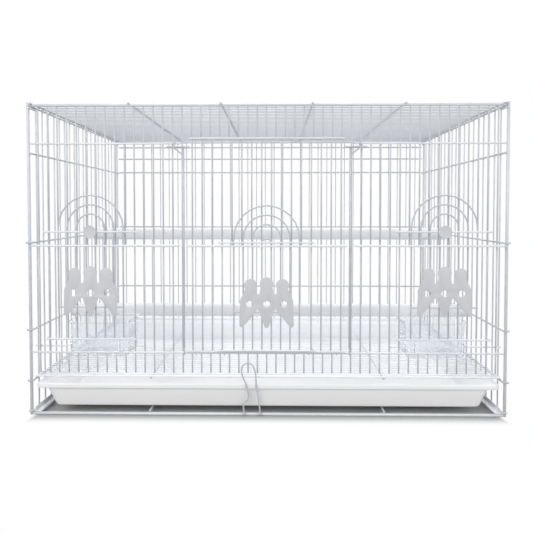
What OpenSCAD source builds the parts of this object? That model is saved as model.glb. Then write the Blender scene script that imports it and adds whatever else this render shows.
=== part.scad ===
// Wire canary breeding cage: a welded wire box on a plastic pull-out tray, with two guillotine
// feeder doors, a large drop-down front door that carries a third guillotine door, two perches
// and two hanging feeder cups. The front faces -Y, +X is to the right, and z = 0 is the table.

/* [Cage box] */
// Distance between the centres of the left and right corner posts
cage_w = 606; // [560:2:700]
// Distance between the centres of the front and back corner posts
cage_d = 400; // [340:2:480]
// Height of the top rim's centre above the table
cage_h = 396; // [380:2:440]
// Diameter of the corner posts and rims
rim_d = 4; // [3.6:0.1:4.4]
// How far the corner posts stand above the top rim's centre
post_over = 4.3; // [2.5:0.1:4.5]
// Diameter of the upright wires
wire_d = 2; // [1.8:0.1:2.2]
// Diameter of the finer wires of the back, top and floor
fine_wire_d = 1.6; // [1.4:0.1:2]
// Diameter of the cross rails welded to the upright wires
rail_d = 2.2; // [2:0.1:2.4]
// Diameter of the side rails, whose ends hook round the posts
side_rail_d = 2.5; // [2.3:0.1:2.6]
// Depth that crossing wires sink into each other at a weld
weld = 0.2; // [0.15:0.05:0.3]
// Gap left between pieces that rest against each other
seat = 0.3; // [0.25:0.05:0.4]

/* [Front panel] */
// Height of the full-width sill rail
sill_z = 81.5; // [78:0.5:85]
// Height of the bars that the feeder doors slide behind
mid_z = 218.5; // [210:0.5:226]
// Drop of the upper rail on the left and right sections below the top rim
upper_drop = 48.5; // [44:0.5:54]
// Height of the lower ends of the front wires
front_low_z = 55; // [54:0.5:60]
// Distance from the middle to the wire at each edge of the centre opening
jamb_x = 107; // [106:0.5:110]
// Number of upright wires over the centre opening
centre_wires = 17; // [15:1:19]
// Drop of the rail over the centre opening below the top rim
header_drop = 42.5; // [38:0.5:46]

/* [Small doors] */
// Spacing of a small door's upright wires
leg_pitch = 11.8; // [11.4:0.1:12]
// Height of a closed feeder door's lower crossbar over the sill
door_low = 2.5; // [2.5:0.1:3]
// Distance between a small door's two crossbars
bar_gap = 136.5; // [134:0.5:140]
// Diameter of the thin cross wire between a small door's crossbars
cross_d = 1.6; // [1.4:0.1:1.8]
// Height of a feeder door's cross wire over its lower crossbar
cross_rise = 41; // [38:0.5:46]
// Height of the centre small door's cross wire over its lower crossbar
small_cross_rise = 48.5; // [44:0.5:52]
// Height of the bird plates' middle over the lower crossbar
plate_rise = 62; // [60:0.5:64]
// Height of the arches' common centre over the upper crossbar
arch_rise = 5; // [3:0.5:8]
// Height of the small catch loop over the upper crossbar
catch_rise = 4.5; // [4:0.5:5]
// Thickness of the stamped bird plates
plate_t = 0.8; // [0.6:0.1:1]
// Diameter of the round finger plate on each feeder door
finger_d = 16.5; // [14:0.5:20]
// How far the cup lugs hold the feeder doors up
door_lift = 15.5; // [15:0.5:18]

/* [Centre door] */
// Spacing of the centre door's upright wires
door_pitch = 12.5; // [12.3:0.1:12.6]
// Diameter of the two side rods
rod_d = 3; // [2.8:0.1:3.2]
// Distance from the middle to each side rod
rod_x = 105; // [104.6:0.1:105.4]
// Drop of each side rod's finger bar below the upper rail
grip_drop = 4.7; // [4.5:0.1:6]

/* [Back, sides and top] */
// Number of gaps between the upright wires of the back
back_gaps = 35; // [30:1:38]
// Number of gaps between the upright wires of a side
side_gaps = 20; // [18:1:22]
// Number of gaps between the wires of the top
top_gaps = 32; // [28:1:34]
// Distance of the inner top cross wires from the middle
top_cross_in = 58; // [50:1:66]
// Distance of the outer top cross wires from the middle
top_cross_out = 175; // [165:1:185]
// Heights of the lower side rails
side_rail_z = [45, 110.5, 222]; // [10:0.5:240]
// Drop of the upper side rail below the top rim
side_rail_drop = 60.5; // [50:0.5:70]
// Heights of the lower back rails
back_rail_z = [45, 112, 229.5]; // [10:0.5:240]
// Drops of the upper back rails below the top rim
back_rail_drop = [59.5, 33, 10.5]; // [8:0.5:80]

/* [Tray and floor] */
// Half width of the tray's rim
tray_half = 297.2; // [290:0.1:297.4]
// Height of the tray's floor above the table
tray_low = 11; // [10:0.5:12]
// Height of the tray's rim above the table
tray_top = 40.9; // [38:0.1:41.5]
// Height of the tray rim's turned-down edge
lip_h = 6.5; // [5:0.5:8]
// Thickness of the tray's plastic
tray_t = 1.6; // [1.4:0.1:2]
// Slope of the tray's walls, from top to bottom
tray_draft = 12; // [8:1:14]
// Slope of the tray's front and back walls
tray_front_draft = 1.5; // [1:0.5:4]
// Spacing of the floor grille's wires
floor_pitch = 10; // [9:0.5:12]
// Distance from the middle to the cross wires of the floor and base
floor_cross = 150; // [140:1:160]

/* [Perches and cups] */
// Diameter of a perch
perch_d = 19.5; // [17:0.5:20]
// Distance of the lower perch behind the middle of the cage
low_perch_y = -60; // [-70:1:-50]
// Distance of the upper perch behind the middle of the cage
high_perch_y = 45; // [30:1:60]
// Width of a feeder cup
cup_w = 76; // [70:1:80]
// Depth of a feeder cup from front to back
cup_depth = 58; // [50:1:64]
// Height of a feeder cup
cup_h = 45; // [42:1:48]
// Thickness of a feeder cup's wall
cup_t = 1.6; // [1.4:0.1:2]
// Offset of a cup from its door's middle, towards the middle of the cage
cup_in = 7; // [5:0.5:8]
// Height of a perch's centre over the side rail that carries it
perch_rise = 0.5; // [0:0.5:3]

/* [Hidden] */
$fn = 48;

steel = [0.93, 0.94, 0.95];
plate_white = [0.88, 0.89, 0.90];
plastic = [0.96, 0.96, 0.97];
clear = [0.85, 0.90, 0.94, 0.5];

hw = cage_w / 2;
hd = cage_d / 2;
rim_r = rim_d / 2;
wire_r = wire_d / 2;
fine_r = fine_wire_d / 2;
rail_r = rail_d / 2;
side_r = side_rail_d / 2;
rod_r = rod_d / 2;
touch = 0.1;
bend_sides = 10;

// Planes of the front panel, from the mesh outwards
mesh_y = -hd;
rail_y = mesh_y - wire_r - rail_r + weld;
leg_y = rail_y - rail_r - seat - wire_r;
bar_y = leg_y - wire_r - rail_r + weld + touch;
cross_r = cross_d / 2;
cross_y = leg_y - wire_r - cross_r + weld;
plate_y = cross_y - cross_r - touch;
keeper_r = 1.2;
keeper_y = plate_y - plate_t - 0.4 - keeper_r;
// The centre door repeats these planes one layer further out
door_y = leg_y;
door_rail_y = door_y - wire_r - rail_r + weld;
small_leg_y = door_rail_y - rail_r - seat - wire_r;
small_bar_y = small_leg_y - wire_r - rail_r + weld + touch;
small_cross_y = small_leg_y - wire_r - cross_r + weld;
small_plate_y = small_cross_y - cross_r - touch;
door_keeper_y = small_plate_y - plate_t - 0.4 - keeper_r;

// Wires of the side sections, from the jamb out to the post. The doorway takes eight of them.
side_wires = 15;
side_pitch = (hw - jamb_x) / (side_wires + 1);
function side_wire_x(i) = jamb_x + i * side_pitch;
door_first = 6;
door_last = 13;
door_x = (side_wire_x(door_first) + side_wire_x(door_last)) / 2;
guide_half = (side_wire_x(door_last + 1) - side_wire_x(door_first - 1)) / 2;
centre_pitch = 2 * jamb_x / (centre_wires + 1);
upper_z = cage_h - upper_drop;
header_z = cage_h - header_drop;
grip_z = upper_z - grip_drop;
side_rails = concat(side_rail_z, [cage_h - side_rail_drop]);
back_rails = concat(back_rail_z, [for (drop = back_rail_drop) cage_h - drop]);
post_top = cage_h + post_over;
wire_top = cage_h - rim_r - touch;
split_low = sill_z + rail_r + 0.5;
split_mid = mid_z - keeper_r - 0.3;

// Small doors
bird_head_r = 8.1;
middle_head_r = 8.7;
bird_neck = 8;
bird_body_r = 10.8;
bird_tail_r = 3;
closed_low = sill_z + door_low;
legs = [-3.5, -2.5, -1.5, -0.5, 0.5, 1.5, 2.5, 3.5] * leg_pitch;
hook_bend = 2.2;
hook_out = 4.1;
door_guide = 4.5 * door_pitch;

// Centre door
door_wires = 16;
half_wires = door_wires / 2;
door_bottom = sill_z + 2 * rail_r + touch;
small_low = door_bottom + 2 * rail_r + seat;
bar_end = 99.5;
header_half = bar_end - 1;
eye_r = 0.8;
eye_bend = rail_r + seat + eye_r;

// Sides and top
side_wire_at = hw - wire_r - 0.2;
side_rail_at = side_wire_at - wire_r - side_r + weld;
side_pitch_y = cage_d / side_gaps;
back_pitch = cage_w / back_gaps;
top_pitch = cage_d / top_gaps;
hook_r = 2.5;
top_rail_z = cage_h - side_r + touch;
top_wire_z = top_rail_z + side_r + 0.15 + fine_r;
top_cross_z = top_wire_z + fine_r + side_r - weld;
top_edge_x = side_rail_at - seat;

// Tray, floor grille and clip
tray_front = -hd - 1.8;
tray_back = hd - 12;
wall_x = tray_half - 10;
wall_front = tray_front + 2;
wall_back = tray_back - 5;
wall_corner = 6;
floor_rod_r = 1.5;
floor_rod_x = side_rail_at - 1.85;
floor_rod_z = side_rail_z[0] + sqrt(pow(side_r + floor_rod_r, 2) - pow(1.85, 2)) + seat;
floor_wire_z = floor_rod_z + floor_rod_r + fine_r - weld;
floor_front = mesh_y + wire_r + 1 + floor_rod_r;
floor_back = hd - 12;
clip_r = 1;
clip_foot_r = 1.15;
clip_y = mesh_y - rim_r - seat - clip_foot_r;
clip_foot_z = 3;

// Cups
cup_front = mesh_y + wire_r + 0.6;
cup_low = sill_z - 7.5;
lug_top = closed_low + door_lift - rail_r - seat;
holder_z = sill_z + 7.5;

// ---------------------------------------------------------------- basic wire shapes

module rod_x(x0, x1, y, z, r) {
    translate([x0, y, z]) rotate([0, 90, 0]) cylinder(h = x1 - x0, r = r);
}

module rod_y(y0, y1, x, z, r) {
    translate([x, y0, z]) rotate([-90, 0, 0]) cylinder(h = y1 - y0, r = r);
}

module rod_z(z0, z1, x, y, r) {
    translate([x, y, z0]) cylinder(h = z1 - z0, r = r);
}

// A quarter bend of wire round the z axis, from the +X direction to the +Y direction
module quarter(bend, r) {
    rotate_extrude(angle = 90) translate([bend, 0]) circle(r = r);
}

// A straight wire between two points
module wire(p, q, r) {
    d = q - p;
    translate(p) rotate([0, acos(d[2] / norm(d)), atan2(d[1], d[0])]) cylinder(h = norm(d), r = r);
}

// One ring of points round a wire that lies in the plane y, where t is the wire's direction
function wire_ring(p, t, y, r) = [for (k = [0 : bend_sides - 1]) let (a = 360 * k / bend_sides)
    [p[0] - r * cos(a) * t[1], y + r * sin(a), p[1] + r * cos(a) * t[0]]];

// A freely bent wire in the plane y, through a list of [x, z] points
module bent_wire(path, y, r) {
    last = len(path) - 1;
    rings = [for (i = [0 : last]) let (d = path[min(i + 1, last)] - path[max(i - 1, 0)])
        wire_ring(path[i], d / norm(d), y, r)];
    sides = [for (i = [0 : last - 1], k = [0 : bend_sides - 1]) let (n = (k + 1) % bend_sides)
        [i * bend_sides + k, i * bend_sides + n, (i + 1) * bend_sides + n, (i + 1) * bend_sides + k]];
    polyhedron(points = [for (ring = rings) each ring], faces = concat(
        [[for (k = [bend_sides - 1 : -1 : 0]) k]], sides,
        [[for (k = [0 : bend_sides - 1]) last * bend_sides + k]]));
}

module mirrored(side) {
    if (side < 0) mirror([1, 0, 0]) children();
    else children();
}

// ---------------------------------------------------------------- frame

module rim(y, z) {
    color(steel) rod_x(-hw + rim_r + touch, hw - rim_r - touch, y, z, rim_r);
}

module front_top_rim() rim(-hd, cage_h);
module back_top_rim() rim(hd, cage_h);
module front_bottom_rim() rim(-hd, rim_r);
module back_bottom_rim() rim(hd, rim_r);

module post(x, y) {
    color(steel) rod_z(0, post_top, x, y, rim_r);
}

module front_left_post() post(-hw, -hd);
module front_right_post() post(hw, -hd);
module back_left_post() post(-hw, hd);
module back_right_post() post(hw, hd);

// ---------------------------------------------------------------- front panel

function in_door(i) = i >= door_first && i <= door_last;

module front_lower_grille() {
    color(steel) {
        rod_x(-hw + rim_r + touch, hw - rim_r - touch, rail_y, sill_z, rail_r);
        for (s = [-1, 1], i = [0 : side_wires])
            rod_z(front_low_z, in_door(i) ? sill_z + 0.4 : split_low, s * side_wire_x(i), mesh_y, wire_r);
        for (i = [1 : centre_wires])
            rod_z(front_low_z, sill_z + 0.4, -jamb_x + i * centre_pitch, mesh_y, wire_r);
    }
}

// Wires of one side section above the middle, with their two rails and the keeper bar
// that stands out in front of the feeder door
module upper_grille() {
    for (i = [1 : side_wires])
        rod_z(in_door(i) ? mid_z - 0.4 : split_mid, wire_top, side_wire_x(i), mesh_y, wire_r);
    rail_in = jamb_x + 3.5;
    rail_out = hw - rim_r - 1;
    rod_x(rail_in + 2.2, rail_out, rail_y, upper_z, rail_r);
    translate([rail_in + 2.2, rail_y + 2.2, upper_z]) rotate([0, 0, 180]) quarter(2.2, rail_r);
    rod_x(rail_in, rail_out, rail_y, mid_z, rail_r);
    keeper_bar(rail_in + 2, rail_out - 2, keeper_y, rail_y, mid_z);
}

// A bar in front of a door, bent back at both ends onto the rail behind it
module keeper_bar(x0, x1, y_front, y_back, z) {
    bend = 2.5;
    rod_x(x0 + bend, x1 - bend, y_front, z, keeper_r);
    translate([x0 + bend, y_front + bend, z]) rotate([0, 0, 180]) quarter(bend, keeper_r);
    translate([x1 - bend, y_front + bend, z]) rotate([0, 0, 270]) quarter(bend, keeper_r);
    rod_y(y_front + bend, y_back, x0, z, keeper_r);
    rod_y(y_front + bend, y_back, x1, z, keeper_r);
}

module front_left_upper_grille() color(steel) mirrored(-1) upper_grille();
module front_right_upper_grille() color(steel) upper_grille();

module side_section_wires(first, last) {
    for (i = [first : last])
        rod_z(split_low + touch, split_mid - touch, side_wire_x(i), mesh_y, wire_r);
}

module front_left_outer_wires() color(steel) mirrored(-1) side_section_wires(door_last + 1, side_wires);
module front_right_outer_wires() color(steel) side_section_wires(door_last + 1, side_wires);
module front_left_inner_wires() color(steel) mirrored(-1) side_section_wires(1, door_first - 1);
module front_right_inner_wires() color(steel) side_section_wires(1, door_first - 1);

module jamb_wire(s) {
    color(steel) rod_z(split_low + touch, wire_top, s * jamb_x, mesh_y, wire_r);
}

module front_left_jamb_wire() jamb_wire(-1);
module front_right_jamb_wire() jamb_wire(1);

module front_centre_header() {
    color(steel) {
        rod_x(-header_half, header_half, rail_y, header_z, rail_r);
        for (i = [1 : centre_wires])
            rod_z(header_z - 0.4, wire_top, -jamb_x + i * centre_pitch, mesh_y, wire_r);
    }
}

// ---------------------------------------------------------------- sides, back, top and base

// One rail of a side, with both ends hooked outwards round the posts
module side_rail(z) {
    straight = hd + rim_r + 0.25 + side_r - hook_r;
    rod_y(-straight, straight, side_rail_at, z, side_r);
    for (s = [-1, 1]) mirror([0, s > 0 ? 0 : 1, 0]) {
        translate([side_rail_at + hook_r, straight, z]) rotate([0, 0, 90]) quarter(hook_r, side_r);
        rod_x(side_rail_at + hook_r, hw + 3.5, straight + hook_r, z, side_r);
    }
}

module side_grille() {
    for (i = [1 : side_gaps - 1])
        rod_z(rim_r, top_rail_z, side_wire_at, -hd + i * side_pitch_y, wire_r);
    for (z = side_rails) side_rail(z);
    rod_y(-hd + rim_r + touch, hd - rim_r - touch, side_rail_at, top_rail_z, side_r);
    rod_y(-hd + rim_r + touch, hd - rim_r - touch, side_rail_at, rim_r + touch, side_r);
}

module left_side_grille() color(steel) mirrored(-1) side_grille();
module right_side_grille() color(steel) side_grille();

module back_grille() {
    color(steel) {
        for (i = [1 : back_gaps - 1])
            rod_z(rim_r * 2 + touch, wire_top, -hw + i * back_pitch, hd, fine_r);
        for (z = back_rails)
            rod_x(-side_rail_at + side_r + seat, side_rail_at - side_r - seat,
                hd - fine_r - side_r + weld, z, side_r);
    }
}

// A cross wire of the top, with both ends curled down over the rims
module top_cross(x) {
    curl = hd + rim_r + side_r + seat - hook_r;
    rod_y(-curl, curl, x, top_cross_z, side_r);
    for (s = [-1, 1]) mirror([0, s > 0 ? 0 : 1, 0])
        translate([x, curl, top_cross_z - hook_r]) rotate([0, -90, 0]) quarter(hook_r, side_r);
}

module top_grille() {
    color(steel) {
        for (i = [1 : top_gaps - 1])
            rod_x(-hw + 1, hw - 1, -hd + i * top_pitch, top_wire_z, fine_r);
        for (x = [top_edge_x, top_cross_out, top_cross_in], s = [-1, 1]) top_cross(s * x);
    }
}

module base_cross_wires() {
    base_r = 1.5;
    color(steel)
        for (s = [-1, 1]) rod_y(-hd - 1, hd + 1, s * floor_cross, 2 * rim_r + base_r + touch, base_r);
}

// A folded strip inside each bottom edge of the sides, lying on the front and back rims
module runner() {
    sheet = 1;
    outer_x = side_rail_at - side_r - seat;
    low_z = 2 * rim_r + seat;
    length = cage_d + rim_r;
    translate([outer_x - sheet, -length / 2, low_z]) cube([sheet, length, 6]);
    translate([outer_x - 8, -length / 2, low_z]) cube([7.5, length, sheet]);
}

module left_runner() color(steel) mirrored(-1) runner();
module right_runner() color(steel) runner();

// ---------------------------------------------------------------- perches and cups

// A dowel whose ends are cut away below, so that they sit on the side rails
module perch(y, rail_z) {
    reach = side_wire_at - wire_r - 0.4;
    centre_z = rail_z + perch_rise;
    color(plastic) difference() {
        rod_x(-reach, reach, y, centre_z, perch_d / 2);
        for (s = [-1, 1]) mirrored(s)
            translate([side_rail_at - side_r - seat, y - perch_d, rail_z - perch_d])
                cube([20, 2 * perch_d, perch_d + side_r + seat]);
    }
}

module upper_perch() perch(high_perch_y, side_rail_z[2]);
module lower_perch() perch(low_perch_y, side_rail_z[1]);

// A rectangle with round corners, as an exact outline
module round_rect(w, h, r) {
    translate([-w / 2 + r, -h / 2]) square([w - 2 * r, h]);
    translate([-w / 2, -h / 2 + r]) square([w, h - 2 * r]);
    for (sx = [-1, 1], sy = [-1, 1]) translate([sx * (w / 2 - r), sy * (h / 2 - r)]) circle(r = r);
}

// A block with round vertical edges and a round bottom, standing on z = 0
module cup_block(w, d, h, r) {
    intersection() {
        linear_extrude(height = h) round_rect(w, d, r);
        translate([0, d / 2 + 1, h / 2 + 10]) rotate([90, 0, 0])
            linear_extrude(height = d + 2) round_rect(w, h + 20, r);
        translate([-w / 2 - 1, 0, h / 2 + 10]) rotate([90, 0, 90])
            linear_extrude(height = w + 2) round_rect(d, h + 20, r);
    }
}

module feeder_cup() {
    edge = 8;
    color(clear) {
        translate([door_x - cup_in, cup_front + cup_depth / 2, cup_low]) {
            difference() {
                union() {
                    cup_block(cup_w, cup_depth, cup_h, edge);
                    translate([0, 0, cup_h - 2]) intersection() {
                        linear_extrude(height = 2) round_rect(cup_w + 6, cup_depth + 6, edge + 2);
                        translate([-cup_w, -cup_depth / 2, -1]) cube([2 * cup_w, cup_depth + 10, 4]);
                    }
                }
                translate([0, 0, cup_t])
                    cup_block(cup_w - 2 * cup_t, cup_depth - 2 * cup_t, cup_h + 1, edge - cup_t);
            }
        }
        for (s = [-1, 1])
            translate([door_x - cup_in + s * 31 - 2.5, bar_y - 1, split_low])
                cube([5, cup_front - bar_y + 1.8, lug_top - split_low]);
    }
}

module left_feeder_cup() mirrored(-1) feeder_cup();
module right_feeder_cup() feeder_cup();

// A wire ring that starts on the front wires and runs round the cup
module cup_holder() {
    gap = 1.4;
    near_x = door_x - cup_in - cup_w / 2 - gap;
    far_x = door_x - cup_in + cup_w / 2 + gap;
    back_y = cup_front + cup_depth + gap;
    start_y = mesh_y + wire_r + touch + wire_r;
    bend = 6;
    color(steel) {
        rod_x(far_x + bend, hw - 5, start_y, holder_z, wire_r);
        translate([far_x + bend, start_y + bend, holder_z]) rotate([0, 0, 180]) quarter(bend, wire_r);
        rod_y(start_y + bend, back_y - bend, far_x, holder_z, wire_r);
        translate([far_x - bend, back_y - bend, holder_z]) quarter(bend, wire_r);
        rod_x(near_x + bend, far_x - bend, back_y, holder_z, wire_r);
        translate([near_x + bend, back_y - bend, holder_z]) rotate([0, 0, 90]) quarter(bend, wire_r);
        rod_y(start_y + bend, back_y - bend, near_x, holder_z, wire_r);
        translate([near_x - bend, start_y + bend, holder_z]) rotate([0, 0, 270]) quarter(bend, wire_r);
        rod_x(near_x - bend - 14, near_x - bend, start_y, holder_z, wire_r);
    }
}

module left_cup_holder() mirrored(-1) cup_holder();
module right_cup_holder() cup_holder();

// ---------------------------------------------------------------- small doors

// A crossbar whose ends hook back round the guide wires at +-guide
module crossbar(guide, y, z, wires_y) {
    out = guide + hook_out;
    back = wires_y + wire_r + 0.4 + rail_r;
    rod_x(-out + hook_bend, out - hook_bend, y, z, rail_r);
    for (s = [-1, 1]) mirrored(s) {
        translate([out - hook_bend, y + hook_bend, z]) rotate([0, 0, 270]) quarter(hook_bend, rail_r);
        rod_y(y + hook_bend, back - hook_bend, out, z, rail_r);
        translate([out - hook_bend, back - hook_bend, z]) quarter(hook_bend, rail_r);
        rod_x(guide - 0.5, out - hook_bend, back, z, rail_r);
    }
}

module arch(half, y, z) {
    translate([0, y, z]) rotate([90, 0, 0])
        rotate_extrude(angle = 180) translate([half, 0]) circle(r = wire_r);
}

// Eight legs joined in pairs by nested arches, held by two crossbars
module small_door(guide, y_leg, y_bar, y_cross, y_guide, z_low, rise) {
    z_high = z_low + bar_gap;
    for (i = [0 : 3]) {
        half = legs[7 - i];
        z_arch = i == 3 ? z_high + catch_rise - half : z_high + arch_rise;
        for (s = [-1, 1]) rod_z(z_low, z_arch, s * half, y_leg, wire_r);
        arch(half, y_leg, z_arch);
    }
    for (z = [z_low, z_high]) crossbar(guide, y_bar, z, y_guide);
    rod_x(legs[0] - wire_r, legs[7] + wire_r, y_cross, z_low + rise, cross_r);
}

module feeder_door() {
    translate([door_x, 0, 0])
        small_door(guide_half, leg_y, bar_y, cross_y, mesh_y, closed_low + door_lift, cross_rise);
}

module left_door_wires() color(steel) mirrored(-1) feeder_door();
module right_door_wires() color(steel) feeder_door();
module small_door_wires() color(steel)
    small_door(door_guide, small_leg_y, small_bar_y, small_cross_y, door_y, small_low, small_cross_rise);

// One sitting bird, seen from behind: a round head, a neck and a broad body that narrows to a tail
module bird(head, head_r, body, tail) {
    translate(head) circle(r = head_r);
    hull() {
        translate([head[0], head[1] - bird_neck]) circle(r = head_r - 0.5);
        translate([body[0], body[1] + 5]) circle(r = bird_body_r);
    }
    hull() {
        translate(body) circle(r = bird_body_r);
        translate(tail) circle(r = bird_tail_r);
    }
}

// Three birds side by side with a hole in each chest, as one stamped outline
module bird_outline() {
    difference() {
        union() {
            bird([0, 22.6], middle_head_r, [0, -5], [0, -29.9]);
            for (s = [-1, 1]) bird([20 * s, 21], bird_head_r, [22.8 * s, -6], [31.2 * s, -29]);
            translate([-23, -9]) square([46, 19]);
        }
        for (x = [-21.5, 0, 21.5]) translate([x, -2.8]) circle(r = 4.2);
    }
}

module bird_plate(x, y_front, z) {
    color(plate_white) translate([x, y_front + plate_t, z]) rotate([90, 0, 0])
        linear_extrude(height = plate_t) bird_outline();
}

module left_door_bird_plate()
    bird_plate(-door_x, plate_y - plate_t, closed_low + door_lift + plate_rise);
module right_door_bird_plate()
    bird_plate(door_x, plate_y - plate_t, closed_low + door_lift + plate_rise);
module small_door_bird_plate()
    bird_plate(0, small_plate_y - plate_t, small_low + plate_rise);

module finger_plate(x) {
    color(plate_white) translate([x, bar_y - rail_r - touch, closed_low + door_lift + bar_gap])
        rotate([90, 0, 0]) cylinder(h = 1, d = finger_d);
}

module left_door_finger_plate() finger_plate(-door_x);
module right_door_finger_plate() finger_plate(door_x);

// ---------------------------------------------------------------- centre door

function door_wire_x(i) = (i + 0.5) * door_pitch;

// Everything above the small door's opening
module centre_door_upper_grille() {
    color(steel) {
        for (s = [-1, 1], i = [0 : half_wires - 1])
            rod_z(i < 4 ? mid_z - 0.4 : split_mid, header_z + 0.4, s * door_wire_x(i), door_y, wire_r);
        rod_x(-bar_end + 2, bar_end - 2, door_rail_y, header_z, rail_r);
        rod_x(-bar_end, bar_end, door_rail_y, mid_z, rail_r);
        keeper_bar(-bar_end, bar_end, door_keeper_y, door_rail_y, mid_z);
    }
}

module centre_door_side_wires() {
    for (i = [4 : half_wires - 1])
        rod_z(door_bottom + rail_r + touch, split_mid - touch, door_wire_x(i), door_y, wire_r);
}

module centre_door_left_wires() color(steel) mirrored(-1) centre_door_side_wires();
module centre_door_right_wires() color(steel) centre_door_side_wires();

// A wire eye round the sill rail, with a stem up to the point given
module sill_eye(x, stem_y, stem_z) {
    translate([x, rail_y, sill_z]) rotate([0, 90, 0])
        rotate_extrude() translate([eye_bend, 0]) circle(r = eye_r);
    away = [0, stem_y - rail_y, stem_z - sill_z];
    wire([x, rail_y, sill_z] + away * eye_bend / norm(away), [x, stem_y, stem_z], eye_r);
}

module centre_door_bottom_rail() {
    color(steel) {
        rod_x(-bar_end, bar_end, door_rail_y, door_bottom, rail_r);
        for (s = [-1, 1], i = [1.5, 4.5]) sill_eye(s * (jamb_x - i * centre_pitch), door_rail_y, door_bottom);
    }
}

// A side rod: an eye on the sill rail, a straight length, a finger bar and a hooked tip
// that catches over the upper rail
module side_rod() {
    rod_y_at = door_y - 0.5;
    rod_low = sill_z + 6;
    hook_wire_r = 1;
    hook_x = jamb_x + 9.5;
    tip_z = upper_z + rail_r + seat + hook_wire_r;
    rod_z(rod_low, grip_z + 1, rod_x, rod_y_at, rod_r);
    sill_eye(rod_x, rod_y_at, rod_low + 1);
    rod_x(bar_end - 2, bar_end + 26, rod_y_at - rod_r - rail_r + weld, grip_z, rail_r);
    bent_wire([[rod_x, grip_z - 10], [rod_x + 1.2, grip_z - 8.2], [hook_x - 3, grip_z - 2.5],
        [hook_x - 0.8, grip_z], [hook_x, grip_z + 3], [hook_x, tip_z]], rod_y_at, hook_wire_r);
    rod_y(rod_y_at - hook_wire_r, mesh_y - 1, hook_x, tip_z, hook_wire_r);
}

module centre_door_left_rod() color(steel) mirrored(-1) side_rod();
module centre_door_right_rod() color(steel) side_rod();

// ---------------------------------------------------------------- tray, floor and clip

// Four round posts, as the corners of one level of a tub
module corners(x, y0, y1, z, h, r) {
    for (s = [-1, 1], y = [y0 + r, y1 - r]) translate([s * (x - r), y, z]) cylinder(h = h, r = r, $fn = 32);
}

// A tub whose side walls slope in towards a floor with a rounded edge
module tub(x, y0, y1, z0, z1, r) {
    side = tray_draft;
    front = tray_front_draft;
    foot = 2.5;
    hull() {
        corners(x, y0, y1, z1 - 0.5, 0.5, r);
        corners(x - side, y0 + front, y1 - front, z0 + foot, 0.1, r);
        corners(x - side - foot, y0 + front + 1.2, y1 - front - 1.2, z0, 0.1, r);
    }
}

module tray() {
    lip_r = 9;
    mid_y = (tray_front + tray_back) / 2;
    color(plastic) {
        difference() {
            union() {
                tub(wall_x, wall_front, wall_back, tray_low, tray_top - 1, wall_corner);
                translate([0, mid_y, tray_top - 2]) linear_extrude(height = 2)
                    round_rect(2 * tray_half, tray_back - tray_front, lip_r);
                translate([0, mid_y, tray_top - lip_h]) linear_extrude(height = lip_h - 1)
                    difference() {
                        round_rect(2 * tray_half, tray_back - tray_front, lip_r);
                        round_rect(2 * tray_half - 3, tray_back - tray_front - 3, lip_r - 1.5);
                    }
            }
            translate([0, 0, tray_t])
                tub(wall_x - tray_t, wall_front + tray_t, wall_back - tray_t,
                    tray_low, tray_top + 5, wall_corner - tray_t);
        }
        for (s = [-1, 1]) translate([s * floor_cross - 4, wall_front + 20, 2 * rim_r + 3 + touch + seat])
            cube([8, wall_back - wall_front - 40, tray_low - 2 * rim_r - 3 - touch - seat + 0.5]);
    }
}

module floor_grille() {
    count = floor((floor_back - floor_front) / floor_pitch);
    step = (floor_back - floor_front) / count;
    color(steel) {
        for (s = [-1, 1]) {
            rod_y(floor_front - 0.5, floor_back + 0.5, s * floor_rod_x, floor_rod_z, floor_rod_r);
            rod_y(floor_front - 0.5, floor_back + 0.5, s * floor_cross, floor_rod_z, floor_rod_r);
        }
        for (i = [1 : count - 1])
            rod_x(-floor_rod_x, floor_rod_x, floor_front + i * step, floor_wire_z, fine_r);
        for (y = [floor_front, floor_back])
            rod_x(-floor_rod_x, floor_rod_x, y, floor_wire_z, floor_rod_r);
    }
}

// A bent wire clip that stands in front of the tray. It turns on its two feet at the bottom
// rim, and its loop is the finger grip.
module tray_clip() {
    foot_x = [-28.5, -8.2];
    foot_half = 2.4;
    color(steel) {
        bent_wire([[foot_x[0], clip_foot_z], [-29.5, 9.5], [-29.8, 15.5], [-28, 18.5],
            [-24.8, 21], [-23.2, 25], [-23.2, 30], [-25, 36.5], [-27, 43], [-29.2, 48.5],
            [-31.5, 53.5], [-32, 60], [-30.8, 65], [-27.5, 68], [-22.6, 68.8], [-18.2, 66.7],
            [-16.2, 62.4], [-14, 56], [-13.6, 47], [-13.4, 39], [-12.4, 33], [-11, 25],
            [-9.8, 18.5], [-9, 12], [foot_x[1], clip_foot_z]], clip_y, clip_r);
        for (x = foot_x) rod_x(x - foot_half, x + foot_half, clip_y, clip_foot_z, clip_foot_r);
    }
}

// ---------------------------------------------------------------- what is drawn

front_top_rim();
front_bottom_rim();
back_top_rim();
back_bottom_rim();
front_left_post();
front_right_post();
back_left_post();
back_right_post();
front_lower_grille();
front_left_upper_grille();
front_right_upper_grille();
front_left_outer_wires();
front_right_outer_wires();
front_left_inner_wires();
front_right_inner_wires();
front_left_jamb_wire();
front_right_jamb_wire();
front_centre_header();
left_side_grille();
right_side_grille();
back_grille();
top_grille();
base_cross_wires();
left_runner();
right_runner();
upper_perch();
lower_perch();
left_feeder_cup();
right_feeder_cup();
left_cup_holder();
right_cup_holder();
left_door_wires();
left_door_bird_plate();
left_door_finger_plate();
right_door_wires();
right_door_bird_plate();
right_door_finger_plate();
centre_door_upper_grille();
centre_door_left_wires();
centre_door_right_wires();
centre_door_bottom_rail();
centre_door_left_rod();
centre_door_right_rod();
small_door_wires();
small_door_bird_plate();
tray();
floor_grille();
tray_clip();
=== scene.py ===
# Canary breeding cage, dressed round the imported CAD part. The frame is in metres with the front
# towards -Y; sizes in this file are millimetres, and MM turns them into metres.
import math

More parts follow.
